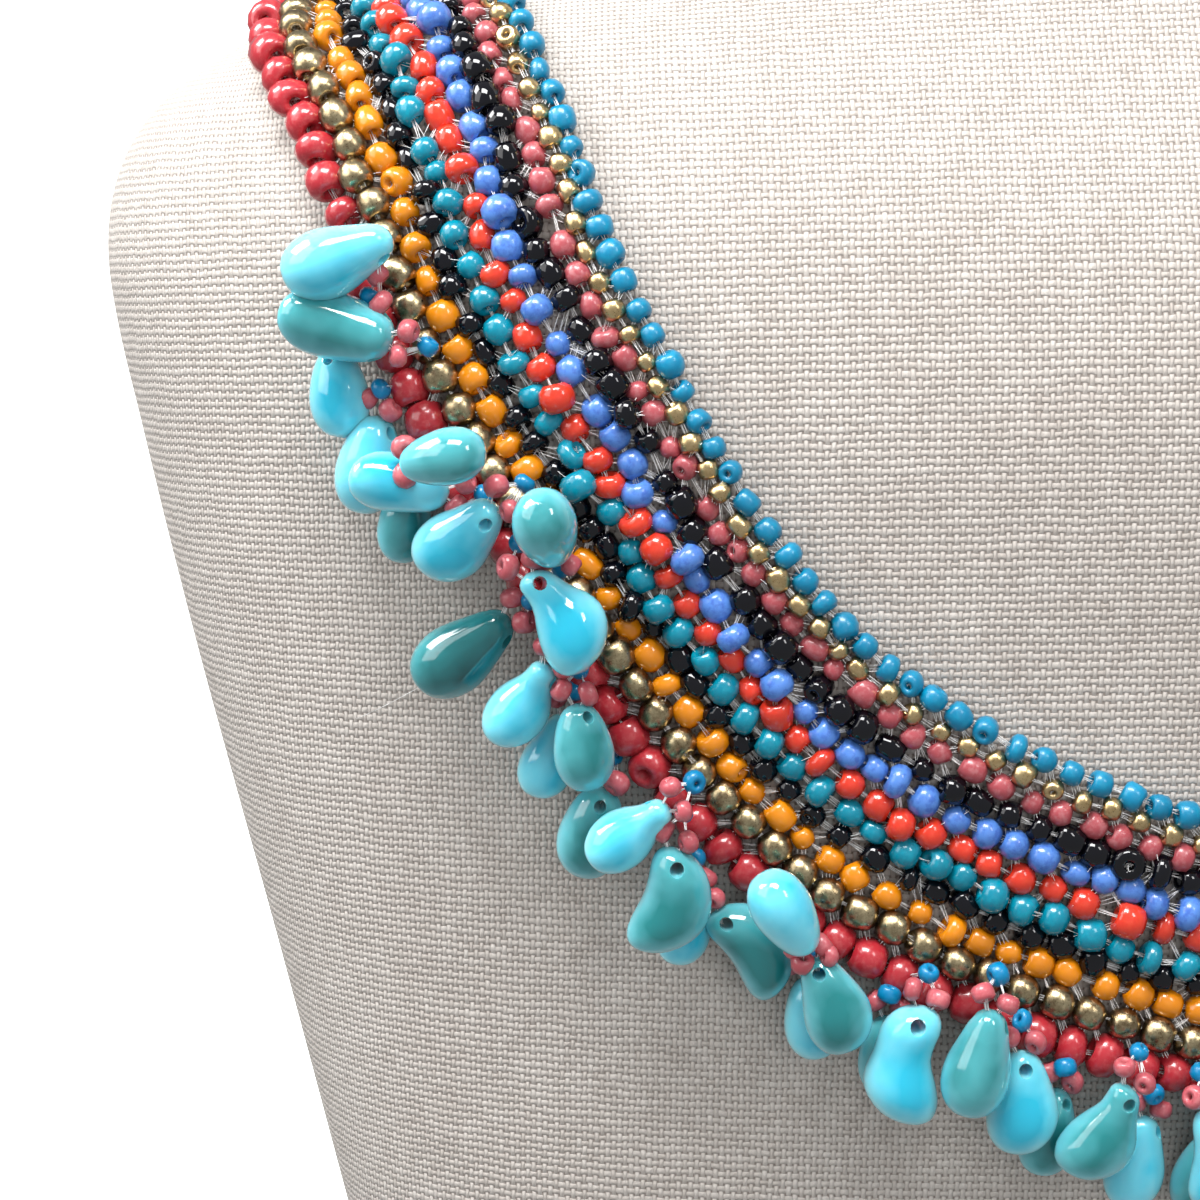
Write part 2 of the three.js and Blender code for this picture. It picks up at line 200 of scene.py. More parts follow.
def noise(tree, vector, scale, detail=2.0, roughness=0.5):
    """A Noise Texture on a vector, and its grey value."""
    node = tree.nodes.new("ShaderNodeTexNoise")
    node.inputs["Scale"].default_value = scale
    node.inputs["Detail"].default_value = detail
    node.inputs["Roughness"].default_value = roughness
    tree.links.new(vector, node.inputs["Vector"])
    return node.outputs[0]


def blend_colours(tree, share, first, second):
    """A Mix node for two colours, each a socket or a plain colour."""
    node = tree.nodes.new("ShaderNodeMix")
    node.data_type = "RGBA"
    for socket, value in zip((node.inputs[0], node.inputs[6], node.inputs[7]), (share, first, second)):
        if isinstance(value, (tuple, int, float)):
            socket.default_value = value
        else:
            tree.links.new(value, socket)
    return node.outputs[2]


def plain_weave():
    """Threads that pass over and under each other. The vector counts threads across and up."""
    tree, given, result = new_group(
        "plain_weave",
        [("Threads", "NodeSocketVector", None), ("Unevenness", "NodeSocketFloat", 0.5)],
        [("Height", "NodeSocketFloat"), ("Painted Shade", "NodeSocketFloat"), ("Tone", "NodeSocketFloat")],
    )
    calc = calculator(tree)
    split = tree.nodes.new("ShaderNodeSeparateXYZ")
    tree.links.new(given["Threads"], split.inputs[0])
    wobble = noise(tree, given["Threads"], 0.16, 3.0, 0.6)
    lean = calc("MULTIPLY", calc("SUBTRACT", wobble, 0.5), given["Unevenness"])
    parts = []
    for place, other, sign in (("X", "Y", 1.0), ("Y", "X", -1.0)):
        count = calc("ADD", split.outputs[place], calc("MULTIPLY", lean, 1.6 * sign))
        index = calc("FLOOR", count)
        within = calc("SUBTRACT", calc("MULTIPLY", calc("FRACT", count), 2.0), 1.0)
        along = tree.nodes.new("ShaderNodeCombineXYZ")
        tree.links.new(calc("MULTIPLY", index, 7.31), along.inputs[0])
        tree.links.new(calc("MULTIPLY", split.outputs[other], 0.22), along.inputs[1])
        along.inputs[2].default_value = 3.0 * sign
        slub = noise(tree, along.outputs[0], 1.0, 2.0, 0.6)
        half = calc("ADD", 0.72, calc("MULTIPLY", calc("SUBTRACT", slub, 0.5), given["Unevenness"]))
        inside = calc("POWER", calc("DIVIDE", within, half), 2.0)
        crown = calc("SQRT", calc("MAXIMUM", calc("SUBTRACT", 1.0, inside), 0.0))
        swell = calc("COSINE", calc("MULTIPLY", within, math.pi / 2))
        parts.append((index, crown, swell, slub))
    (column, crown_a, swell_a, slub_a), (row, crown_b, swell_b, slub_b) = parts
    odd = calc("FLOORED_MODULO", calc("ADD", column, row), 2.0)
    side = calc("SUBTRACT", 1.0, calc("MULTIPLY", odd, 2.0))
    over = calc("MULTIPLY", calc("MULTIPLY", swell_b, side), 0.5)
    under = calc("MULTIPLY", calc("MULTIPLY", swell_a, side), -0.5)
    height_a = calc("MULTIPLY", crown_a, calc("ADD", over, 0.5))
    height_b = calc("MULTIPLY", crown_b, calc("ADD", under, 0.5))
    height = calc("MAXIMUM", height_a, height_b)
    a_on_top = calc("GREATER_THAN", height_a, height_b)
    tone = calc("ADD", calc("MULTIPLY", slub_a, a_on_top),
                calc("MULTIPLY", slub_b, calc("SUBTRACT", 1.0, a_on_top)))
    # Painted shade: the gaps darken the lower the weave lies between the threads
    gap_shade = calc("SUBTRACT", 1.0, calc("DIVIDE", height, 0.42), clamp=True)
    tree.links.new(height, result["Height"])
    tree.links.new(gap_shade, result["Painted Shade"])
    tree.links.new(tone, result["Tone"])
    return tree


def linen_material():
    """Thick pale linen: two sets of uneven threads, fine fibres on them, and painted shade in the
    gaps.
    """
    material = bpy.data.materials.new("linen")
    material.use_nodes = True
    tree = material.node_tree
    calc = calculator(tree)
    shader = tree.nodes["Principled BSDF"]
    lengths = tree.nodes.new("ShaderNodeUVMap")
    lengths.uv_map = "thread_lengths"
    counted = tree.nodes.new("ShaderNodeMapping")
    counted.inputs["Scale"].default_value = (1 / thread_across, 1 / thread_up, 1)
    tree.links.new(lengths.outputs[0], counted.inputs["Vector"])
    weave = tree.nodes.new("ShaderNodeGroup")
    weave.node_tree = plain_weave()
    weave.inputs["Unevenness"].default_value = 0.5
    tree.links.new(counted.outputs[0], weave.inputs["Threads"])
    fibres = noise(tree, counted.outputs[0], 7.0, 3.0, 0.7)
    stains = noise(tree, counted.outputs[0], 0.05, 3.0, 0.6)
    shade = calc("ADD", calc("MULTIPLY", weave.outputs["Tone"], 0.55),
                 calc("ADD", calc("MULTIPLY", fibres, 0.3), calc("MULTIPLY", stains, 0.25)))
    thread = blend_colours(tree, calc("MULTIPLY", calc("SUBTRACT", shade, 0.3), 2.2, clamp=True),
                           linen_dark, linen_light)
    # Painted shade in the gaps where the weave lies low
    colour = blend_colours(tree, weave.outputs["Painted Shade"], thread, linen_gap_shade)
    tree.links.new(colour, shader.inputs["Base Color"])
    shader.inputs["Roughness"].default_value = 0.92
    shader.inputs["Specular IOR Level"].default_value = 0.2
    shader.inputs["Sheen Weight"].default_value = 0.15
    bump = tree.nodes.new("ShaderNodeBump")
    bump.inputs["Distance"].default_value = 0.18 * mm
    bump.inputs["Strength"].default_value = 1.0
    rough_height = calc("ADD", weave.outputs["Height"], calc("MULTIPLY", fibres, 0.22))
    tree.links.new(rough_height, bump.inputs["Height"])
    tree.links.new(bump.outputs[0], shader.inputs["Normal"])
    return material


bust = bust_mesh()
bust.data.materials.append(linen_material())
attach(bust, "root")
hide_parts("bust_form")

# Plan of the collar
# Eleven strung rows lie side by side on the bust. The inner row follows the neckline, and each
# next row lies one bead further out, closer together where the collar climbs to the shoulder.

body_height = 171 * mm
linen_clearance = 0.25 * mm
packing = 0.93
clasp_half = 3.6 * mm
# Columns: heading in degrees from the front, height as a share of body_height
neckline = [
    (0, 0.506), (16, 0.516), (32, 0.552), (42, 0.597), (48.5, 0.661), (53, 0.742), (57.5, 0.819),
    (62.3, 0.888), (70, 0.947), (88, 1.005), (120, 1.030), (150, 1.040), (180, 1.042),
]
# Columns: place as a share of the way from the front to the clasp, width of the rows there
row_closeness = [
    (0, 1.00), (0.17, 1.00), (0.25, 0.86), (0.30, 0.85), (0.34, 0.91), (0.44, 0.90), (0.60, 0.95),
    (1, 1.00),
]
# Room that each row takes up, in mm, from the inner row out
bead_sizes = {
    "turquoise": 2.15, "gold": 1.95, "pink": 2.1, "black": 2.3, "blue": 2.6, "orange_red": 2.4,
    "teal": 2.5, "inner_black": 2.1, "orange": 2.45, "bronze": 3.0, "red": 3.7,
}
line_points = 801
tangent_reach = 9
row_names = list(bead_sizes)
dice = np.random.default_rng(20)


def smooth_table(rows, count):
    """The table's rows with a smooth curve through them, at an even count of steps."""
    rows = np.array(rows, float)
    rows = np.concatenate([[2 * rows[0] - rows[1]], rows, [2 * rows[-1] - rows[-2]]])
    place = np.linspace(0, len(rows) - 3, count)
    index = np.clip(np.floor(place).astype(int), 0, len(rows) - 4)
    weights = curve_weights(place - index)
    return sum(weights[i][:, None] * rows[index + i] for i in range(4))


def lengths_along(points):
    return np.concatenate([[0], np.linalg.norm(np.diff(points, axis=0), axis=1).cumsum()])


def neckline_places(shares):
    """Places on the bust along the neckline, at shares of its half length from the front."""
    headings, heights = smooth_table(neckline, 500).T
    fine_levels = np.linspace(0, ring_count - 1, 2000)
    front = bust_point(np.stack([fine_levels, np.zeros_like(fine_levels)], -1))
    levels = np.interp(heights * body_height, front[:, 2], fine_levels)
    fine_turns = np.linspace(0, math.pi, 400)
    turns = []
    for level, heading in zip(levels, headings):
        ring = bust_point(np.stack([np.full_like(fine_turns, level), fine_turns], -1))
        around = np.arctan2(ring[:, 0], axis_y - ring[:, 1])
        turns.append(np.interp(math.radians(heading), around, fine_turns))
    half = np.stack([levels, turns], -1)
    along = lengths_along(bust_point(half))
    place = np.abs(shares) * along[-1]
    return np.stack([
        np.interp(place, along, half[:, 0]),
        np.sign(shares) * np.interp(place, along, half[:, 1]),
    ], -1), along[-1]


def along_row(points):
    """Direction of the row at each point, taken over a short stretch so that it stays smooth."""
    index = np.arange(len(points))
    ahead = points[np.minimum(index + tangent_reach, len(points) - 1)]
    behind = points[np.maximum(index - tangent_reach, 0)]
    return unit(ahead - behind)


def stepped_out(places, distances):
    """Each place moved over the bust, square to its row, by its own distance."""
    up, turn, normal = bust_frame(places)
    step = np.cross(along_row(bust_point(places)), normal) * distances[:, None]
    uu, ut, tt = (up * up).sum(1), (up * turn).sum(1), (turn * turn).sum(1)
    us, ts = (up * step).sum(1), (turn * step).sum(1)
    area = uu * tt - ut * ut
    return places + np.stack([(us * tt - ts * ut) / area, (ts * uu - us * ut) / area], -1)


half_length = neckline_places(np.zeros(1))[1]
row_end = 1 - clasp_half / half_length
row_shares = np.linspace(-row_end, row_end, line_points)
closeness = np.interp(np.abs(row_shares), *np.array(row_closeness).T)
row_places = {}
sizes = [size * mm for size in bead_sizes.values()]
places = neckline_places(row_shares)[0]
for index, name in enumerate(bead_sizes):
    if index:
        half_step = closeness * packing * (sizes[index - 1] + sizes[index]) / 4
        places = stepped_out(stepped_out(places, half_step), half_step)
    row_places[name] = places


def row_frame(places, along):
    """Points, directions along the row, outward and up, at lengths along a row of places."""
    points = bust_point(places)
    length = lengths_along(points)
    level = np.interp(along, length, places[:, 0])
    turn = np.interp(along, length, places[:, 1])
    here = np.stack([level, turn], -1)
    normal = bust_frame(here)[2]
    tangent = along_row(points)
    tangent = np.stack([np.interp(along, length, tangent[:, i]) for i in range(3)], -1)
    outward = unit(np.cross(tangent, normal))
    return bust_point(here), unit(np.cross(normal, outward)), outward, normal


# Seed beads of the collar
# Small drawn-glass beads, cut from a tube and tumbled, so that each is a soft barrel with its own
# length and lean. Every row has the same count, and crowded beads push each other off the line.

beads_per_row = 171
bead_sides = 12
# Columns: radius and height of a tumbled bead, radius and height of a square-cut one
bead_section = [
    (0.13, -0.40, 0.15, -0.45), (0.28, -0.46, 0.37, -0.50), (0.44, -0.27, 0.49, -0.36),
    (0.50, 0.00, 0.505, 0.00), (0.44, 0.27, 0.49, 0.36), (0.28, 0.46, 0.37, 0.50),
    (0.13, 0.40, 0.15, 0.45),
]
wedge_spread = 0.05
oval_spread = 0.04


def added_piece(name, mesh, slot, *nodes):
    """The mesh as a piece of the scene, in the place of the CAD nodes that it stands for."""
    piece = bpy.data.objects.new(name, mesh)
    bpy.context.collection.objects.link(piece)
    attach(piece, "root")
    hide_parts(*nodes)
    return piece


def bead_meshes(name, centres, axes, widths, lengths, squareness, tones):
    """Beads as one mesh, each between the section of a tumbled bead and that of a square one."""
    count, corners = len(centres), len(bead_section)
    section = np.array(bead_section)
    share = squareness[:, None]
    radius = (1 - share) * section[:, 0] + share * section[:, 2]
    height = (1 - share) * section[:, 1] + share * section[:, 3]
    angle = np.arange(bead_sides) * 2 * math.pi / bead_sides
    wedge = dice.normal(0, wedge_spread, (count, 1))
    spin = dice.uniform(0, 2 * math.pi, (count, 1))
    ring_x, ring_y = np.cos(angle + spin), np.sin(angle + spin)
    oval = 1 + dice.normal(0, oval_spread, (count, 1))
    x = radius[:, :, None] * ring_x[:, None] * (widths * oval[:, 0])[:, None, None]
    y = radius[:, :, None] * ring_y[:, None] * (widths / oval[:, 0])[:, None, None]
    z = height[:, :, None] * (1 + wedge * np.cos(angle))[:, None] * lengths[:, None, None]
    local = np.stack([x, y, z], -1).reshape(count, -1, 3)
    points = np.einsum("nij,npj->npi", axes, local) + centres[:, None]
    corner, side = np.meshgrid(np.arange(corners), np.arange(bead_sides), indexing="ij")
    next_corner, next_side = (corner + 1) % corners, (side + 1) % bead_sides
    faces = np.stack([
        corner * bead_sides + side, corner * bead_sides + next_side,
        next_corner * bead_sides + next_side, next_corner * bead_sides + side,
    ], -1).reshape(-1, 4)
    faces = faces[None] + (np.arange(count) * corners * bead_sides)[:, None, None]
    mesh = bpy.data.meshes.new(name)
    mesh.from_pydata(points.reshape(-1, 3), [], faces.reshape(-1, 4).tolist())
    mesh.polygons.foreach_set("use_smooth", [True] * len(mesh.polygons))
    tone = mesh.attributes.new("tone", "FLOAT", "POINT")
    tone.data.foreach_set("value", np.repeat(tones, corners * bead_sides))
    return mesh


def bead_axes(directions):
    """Turns each bead's own Z axis to its direction."""
    axis = unit(directions)
    helper = np.where(np.abs(axis[:, 2:]) > 0.9, [[1.0, 0, 0]], [[0, 0, 1.0]])
    first = unit(np.cross(helper, axis))
    return np.stack([first, np.cross(axis, first), axis], -1)


mottle_scale = 1500.0


def bead_glass():
    """A bead's colour, with its own tone and the fine mottling of the glass, and the mottling."""
    tree, given, result = new_group(
        "bead_glass",
        [("Colour", "NodeSocketColor", None), ("Mottle Colour", "NodeSocketColor", None),
         ("Mottling", "NodeSocketFloat", 0.3)],
        [("Colour", "NodeSocketColor"), ("Mask", "NodeSocketFloat")],
    )
    calc = calculator(tree)
    place = tree.nodes.new("ShaderNodeTexCoord")
    own = tree.nodes.new("ShaderNodeAttribute")
    own.attribute_name = "tone"
    cloud = noise(tree, place.outputs["Object"], mottle_scale, 3.0, 0.65)
    patch = calc("MULTIPLY", calc("SUBTRACT", cloud, 0.46), 5.0, clamp=True)
    mixed = blend_colours(tree, calc("MULTIPLY", patch, given["Mottling"]), given["Colour"],
                          given["Mottle Colour"])
    adjust = tree.nodes.new("ShaderNodeHueSaturation")
    tree.links.new(mixed, adjust.inputs["Color"])
    tree.links.new(calc("ADD", 1.0, own.outputs["Fac"]), adjust.inputs["Value"])
    tree.links.new(adjust.outputs[0], result["Colour"])
    tree.links.new(cloud, result["Mask"])
    return tree


bead_glass_group = bead_glass()


def glass_material(name, colour, mottle, mottling, roughness, coat):
    """Opaque glass with a tumbled skin, and the finest unevenness where it is mottled."""
    material = bpy.data.materials.new(name)
    material.use_nodes = True
    tree = material.node_tree
    shader = tree.nodes["Principled BSDF"]
    glass = tree.nodes.new("ShaderNodeGroup")
    glass.node_tree = bead_glass_group
    glass.inputs["Colour"].default_value = (*colour, 1)
    glass.inputs["Mottle Colour"].default_value = (*mottle, 1)
    glass.inputs["Mottling"].default_value = mottling
    tree.links.new(glass.outputs["Colour"], shader.inputs["Base Color"])
    shader.inputs["Roughness"].default_value = roughness
    shader.inputs["Specular IOR Level"].default_value = 0.5
    shader.inputs["Coat Weight"].default_value = coat
    shader.inputs["Coat Roughness"].default_value = 0.04
    bump = tree.nodes.new("ShaderNodeBump")
    bump.inputs["Strength"].default_value = 0.12 if mottling else 0.0
    bump.inputs["Distance"].default_value = 0.05 * mm
    tree.links.new(glass.outputs["Mask"], bump.inputs["Height"])
    tree.links.new(bump.outputs[0], shader.inputs["Normal"])
    return material


# Columns: width in mm, length as a share of the width, spread of the sizes, squareness, share
# that lie across the row, height in mm by which the row stands up over the others
bead_forms = {
    "turquoise": (2.45, 0.86, 0.08, 0.40, 0.04, 0.0),
    "gold": (2.05, 0.92, 0.08, 0.30, 0.04, 0.4),
    "pink": (2.35, 0.92, 0.07, 0.1, 0.02, 0.0),
    "black": (2.7, 0.92, 0.09, 0.50, 0.06, 0.0),
    "blue": (2.9, 0.86, 0.08, 0.1, 0.02, 0.0),
    "orange_red": (2.8, 0.88, 0.08, 0.25, 0.02, 0.0),
    "teal": (2.85, 0.85, 0.08, 0.1, 0.02, 0.0),
    "inner_black": (2.55, 0.88, 0.1, 0.35, 0.08, 0.0),
    "orange": (2.75, 0.93, 0.08, 0.3, 0.03, 0.0),
    "bronze": (3.2, 0.98, 0.02, 0.0, 0.02, 0.4),
    "red": (3.95, 0.85, 0.06, 0.2, 0.04, 0.0),
}


every_other = 0.5
most_slack = 0.16
axis_lean = 0.2


def strung_row(name, width, length, spread, square, turned_out, raised):
    """One row: where its beads sit, how they lean, and how each differs in size."""
    size = width * mm
    places = row_places[name]
    total = lengths_along(bust_point(places))[-1]
    count = beads_per_row
    pitch = total / (count + 0.1)
    room = max(1 - size * length / pitch, 0.03)
    gaps = 1 + dice.uniform(-1, 1, count) * min(room, most_slack)
    start = every_other * (row_names.index(name) % 2) - 0.25
    step = gaps.cumsum() * (count - 0.75) / gaps.sum() + start
    point, tangent, outward, normal = row_frame(places, step * pitch)
    widths = size * (1 + dice.normal(0, spread, count).clip(-2 * spread, 2 * spread))
    lengths = size * length * (1 + dice.normal(0, 1.5 * spread, count).clip(-0.25, 0.7 * room))
    out = dice.uniform(0, 1, count) < turned_out
    side_on = dice.uniform(0, 1, count) < turned_out
    axis = np.where(out[:, None], normal + 0.5 * outward, np.where(side_on[:, None], outward, tangent))
    lift = linen_clearance + widths / 2 + raised * mm
    return {
        "row": np.full(count, row_names.index(name)), "normal": normal, "tangent": tangent,
        "axis": unit(axis + dice.normal(0, axis_lean, (count, 3))), "width": widths, "length": lengths,
        "centre": point + normal * lift[:, None], "square": dice.normal(square, 0.2, count).clip(0, 1),
    }


push_reach = 5 * mm
push_steps = 60
push_share = 0.25
deepest_overlap = 0.3
pull_back = 0.03


def settled(beads):
    """The beads' centres after each has pushed its neighbours aside, but never into the bust."""
    start = beads["centre"]
    centre = start.copy()
    near = np.linalg.norm(start[:, None] - start[None], axis=-1) < push_reach
    first, second = np.nonzero(np.triu(near, 1))
    along = beads["tangent"][first]
    half_length = (beads["length"][first] + beads["length"][second]) / 2
    half_width = (beads["width"][first] + beads["width"][second]) / 2
    for _ in range(push_steps):
        apart = centre[second] - centre[first]
        forward = (apart * along).sum(1)
        aside = np.linalg.norm(apart - forward[:, None] * along, axis=1)
        fit = np.sqrt((forward / half_length) ** 2 + (aside / half_width) ** 2)
        overlap = (1 / np.maximum(fit, deepest_overlap) - 1).clip(0, 1)
        push = apart * (push_share * overlap)[:, None]
        np.add.at(centre, second, push)
        np.add.at(centre, first, -push)
        moved = centre - start
        rise = (moved * beads["normal"]).sum(1)
        centre -= beads["normal"] * np.minimum(rise, 0)[:, None] + pull_back * moved
    return centre


rows = [strung_row(name, *form) for name, form in bead_forms.items()]
beads = {key: np.concatenate([row[key] for row in rows]) for key in rows[0]}
beads["centre"] = settled(beads)
row_centres = {name: beads["centre"][beads["row"] == i] for i, name in enumerate(row_names)}


tone_spread = 0.07


def row_piece(name):
    """One row's beads as a mesh of their own."""
    own = {key: values[beads["row"] == row_names.index(name)] for key, values in beads.items()}
    mesh = bead_meshes(f"{name}_row", own["centre"], bead_axes(own["axis"]), own["width"],
                       own["length"], own["square"], dice.normal(0, tone_spread, beads_per_row))
    return added_piece(f"{name}_row", mesh, "seed_beads", "woven_band")


# Columns: row, colour, colour of its mottling, share of mottling, roughness, coat
glass_rows = [
    ("turquoise", (0.0, 0.18, 0.33), (0.0, 0.26, 0.42), 0.5, 0.34, 0.3),
    ("pink", (0.37, 0.064, 0.078), (0.45, 0.17, 0.18), 0.6, 0.32, 0.3),
    ("black", (0.002, 0.002, 0.004), (0.002, 0.002, 0.004), 0, 0.07, 0.1),
    ("blue", (0.08, 0.21, 0.58), (0.04, 0.11, 0.43), 0.8, 0.28, 0.4),
    ("orange_red", (0.62, 0.034, 0.015), (0.66, 0.065, 0.025), 0.4, 0.20, 0.6),
    ("teal", (0.0, 0.20, 0.29), (0.0, 0.28, 0.38), 0.6, 0.24, 0.5),
    ("inner_black", (0.002, 0.002, 0.004), (0.002, 0.002, 0.004), 0, 0.07, 0.1),
    ("orange", (0.63, 0.20, 0.002), (0.68, 0.25, 0.005), 0.3, 0.24, 0.6),
    ("red", (0.39, 0.019, 0.029), (0.47, 0.065, 0.07), 0.6, 0.26, 0.6),
]
for name, *look in glass_rows:
    row_piece(name).data.materials.append(glass_material(f"{name}_glass", *look))

# Metal-coated beads of the collar
# The second row is small gold-plated beads, a little proud of the rows beside them. The tenth is
# round bronze-coloured beads, whose plating is finely pitted and worn dull in patches.

# Painted dark reflection at the edges of the plated beads
painted_dark_rim_colour = (0.05, 0.03, 0.012, 1)
broad_patches = 900.0
fine_patches = 4200.0


def metal_material(name, light, dark, roughness, pits, painted_dark_rim):
    """Plating that is darker where it is worn, with a painted dark reflection where a bead turns away.
    """
    material = bpy.data.materials.new(name)
    material.use_nodes = True
    tree = material.node_tree
    calc = calculator(tree)
    shader = tree.nodes["Principled BSDF"]
    place = tree.nodes.new("ShaderNodeTexCoord").outputs["Object"]
    broad = noise(tree, place, broad_patches, 3.0, 0.6)
    fine = noise(tree, place, fine_patches, 3.0, 0.7)
    wear = calc("MULTIPLY", calc("SUBTRACT", calc("ADD", broad, calc("MULTIPLY", fine, 0.6)), 0.6),
                2.2, clamp=True)
    plating = blend_colours(tree, wear, (*dark, 1), (*light, 1))
    # Painted dark reflection: darker where the surface is seen edge-on
    edge = tree.nodes.new("ShaderNodeLayerWeight")
    edge.inputs["Blend"].default_value = 0.5
    painted_dark_rim_share = calc("MULTIPLY", calc("POWER", edge.outputs["Facing"], 1.5), painted_dark_rim)
    shaded = blend_colours(tree, painted_dark_rim_share, plating, painted_dark_rim_colour)
    tree.links.new(shaded, shader.inputs["Base Color"])
    shader.inputs["Metallic"].default_value = 1.0
    tree.links.new(calc("ADD", roughness, calc("MULTIPLY", fine, 0.2)), shader.inputs["Roughness"])
    bump = tree.nodes.new("ShaderNodeBump")
    bump.inputs["Strength"].default_value = pits
    bump.inputs["Distance"].default_value = 0.12 * mm
    tree.links.new(calc("ADD", broad, calc("MULTIPLY", fine, 0.5)), bump.inputs["Height"])
    tree.links.new(bump.outputs[0], shader.inputs["Normal"])
    return material


row_piece("gold").data.materials.append(metal_material(
    "gold_plating", (0.86, 0.66, 0.36), (0.62, 0.43, 0.20), 0.20, 0.0, 1.0,
))
row_piece("bronze").data.materials.append(metal_material(
    "bronze_plating", (0.74, 0.62, 0.38), (0.30, 0.22, 0.12), 0.20, 0.10, 0.9,
))

# Pressed-glass drops
# Side-drilled drops of milky glass in sky blue and in green teal, with a fuller colour in the
# belly and a paler skin. Each hangs by its narrow end from the thread beside the red row.

drop_length = 9.4 * mm
drop_width = 6.1 * mm
drop_flatness = 0.92
edge_thread = 1.9 * mm
border_share = 0.45
thread_gap = 0.35 * mm
fringe_reach = 130 * mm
hole_place = 0.13
hole_radius = 0.062

# Columns: place as a share of fringe_reach, then the drilled end's distance outside the edge
# thread and its height over the bust as shares of drop_width, lean towards the front in degrees,
# rise of the round end as a share of drop_width, size, colour, shape, turn of the hole in degrees
drops = [
    (0.026, 0.20, 0.56, -10, -0.02, 1.00, "teal", "pear", 20),
    (0.054, -0.40, 1.31, 8, 0.00, 0.96, "sky", "neck", 70),
    (0.086, 0.20, 0.56, -12, -0.02, 1.02, "teal", "egg", 10),
    (0.114, -0.33, 1.31, 18, -0.03, 1.00, "sky", "bean", 0),
    (0.144, 0.23, 0.56, 4, -0.02, 0.96, "sky", "pear", 60),
    (0.172, -0.43, 1.31, -12, -0.05, 1.04, "teal", "neck", 15),
    (0.207, 0.20, 0.56, 10, -0.02, 0.90, "teal", "pear", 40),
    (0.245, -0.31, 1.00, 22, -0.10, 1.06, "sky", "pear", 5),
    (0.279, -0.84, 1.34, 11, 0.03, 1.08, "teal", "pear", 75),
    (0.320, -0.41, 1.12, 16, 0.10, 1.18, "sky", "peanut", 5),
    (0.333, 0.16, 0.56, 24, 0.00, 0.80, "teal", "egg", 60),
    (0.392, 0.20, 0.56, 39, 0.00, 0.84, "sky", "egg", 30),
    (0.403, -0.36, 1.31, 55, -0.05, 1.00, "teal", "pear", 5),
    (0.408, -0.46, 1.48, -116, 0.20, 0.92, "sky", "egg", 80),
    (0.469, 0.28, 0.66, 85, -0.11, 1.02, "teal", "bean", 10),
    (0.492, 0.20, 0.56, 36, -0.02, 0.84, "sky", "pear", 60),
    (0.523, -0.23, 1.28, 38, -0.05, 1.08, "teal", "bean", 10),
    (0.549, -0.62, 1.44, 1, -0.11, 0.94, "sky", "neck", 85),
    (0.579, 0.30, 0.62, 41, -0.09, 0.95, "teal", "egg", 15),
    (0.634, 0.20, 0.56, 36, -0.02, 0.88, "sky", "pear", 70),
    (0.640, -0.31, 1.21, 64, -0.03, 0.86, "teal", "egg", 50),
    (0.672, -0.31, 1.21, 23, -0.11, 0.95, "sky", "neck", 80),
    (0.711, -0.03, 0.82, 7, 0.09, 1.14, "dark", "pear", 75),
    (0.731, -0.87, 1.44, 92, -0.07, 1.05, "sky", "neck", 30),
    (0.731, -1.30, 1.23, -128, 1.05, 0.94, "teal", "egg", 80),
    (0.774, -1.07, 1.36, 3, -0.20, 1.03, "sky", "pear", 30),
    (0.800, -0.54, 1.15, -43, 0.17, 0.96, "sky", "bean", 80),
    (0.823, 0.20, 0.56, 49, -0.03, 0.80, "teal", "egg", 70),
    (0.830, -0.51, 1.90, 160, -0.06, 0.84, "teal", "egg", 80),
    (0.871, 0.13, 0.57, 48, -0.07, 0.98, "sky", "egg", 80),
    (0.905, -0.93, 1.21, -40, 0.16, 1.12, "teal", "bean", 80),
    (0.924, 0.28, 0.60, 72, 0.04, 0.86, "sky", "egg", 5),
    (0.964, -1.56, 1.31, -2, 0.23, 1.12, "sky", "pear", 85),
]
# Columns: place along the drop, half width as a share of half the drop's width
drop_outlines = {
    "pear": [(0, 0), (0.03, 0.30), (0.10, 0.50), (0.2, 0.63), (0.35, 0.79), (0.5, 0.94),
             (0.64, 1.0), (0.78, 0.93), (0.88, 0.76), (0.95, 0.52), (1, 0)],
    "neck": [(0, 0), (0.03, 0.30), (0.09, 0.46), (0.18, 0.52), (0.3, 0.62), (0.45, 0.86),
             (0.6, 1.0), (0.76, 0.97), (0.87, 0.80), (0.95, 0.54), (1, 0)],
    "egg": [(0, 0), (0.03, 0.36), (0.10, 0.60), (0.22, 0.80), (0.36, 0.94), (0.5, 1.03),
            (0.64, 1.04), (0.78, 0.94), (0.88, 0.75), (0.95, 0.50), (1, 0)],
    "bean": [(0, 0), (0.03, 0.36), (0.10, 0.60), (0.2, 0.76), (0.35, 0.87), (0.5, 0.94),
             (0.64, 0.98), (0.78, 0.92), (0.88, 0.75), (0.95, 0.50), (1, 0)],
    "peanut": [(0, 0), (0.03, 0.36), (0.10, 0.60), (0.2, 0.72), (0.33, 0.71), (0.45, 0.73),
               (0.6, 0.88), (0.74, 0.93), (0.86, 0.80), (0.94, 0.55), (1, 0)],
}
drop_bows = {"pear": 0.03, "neck": 0.10, "egg": 0.0, "bean": 0.16, "peanut": -0.12}
other_colour = {"sky": "teal", "teal": "sky", "dark": "sky"}
fringe_nodes = ("drop_fringe_left", "drop_fringe_right")


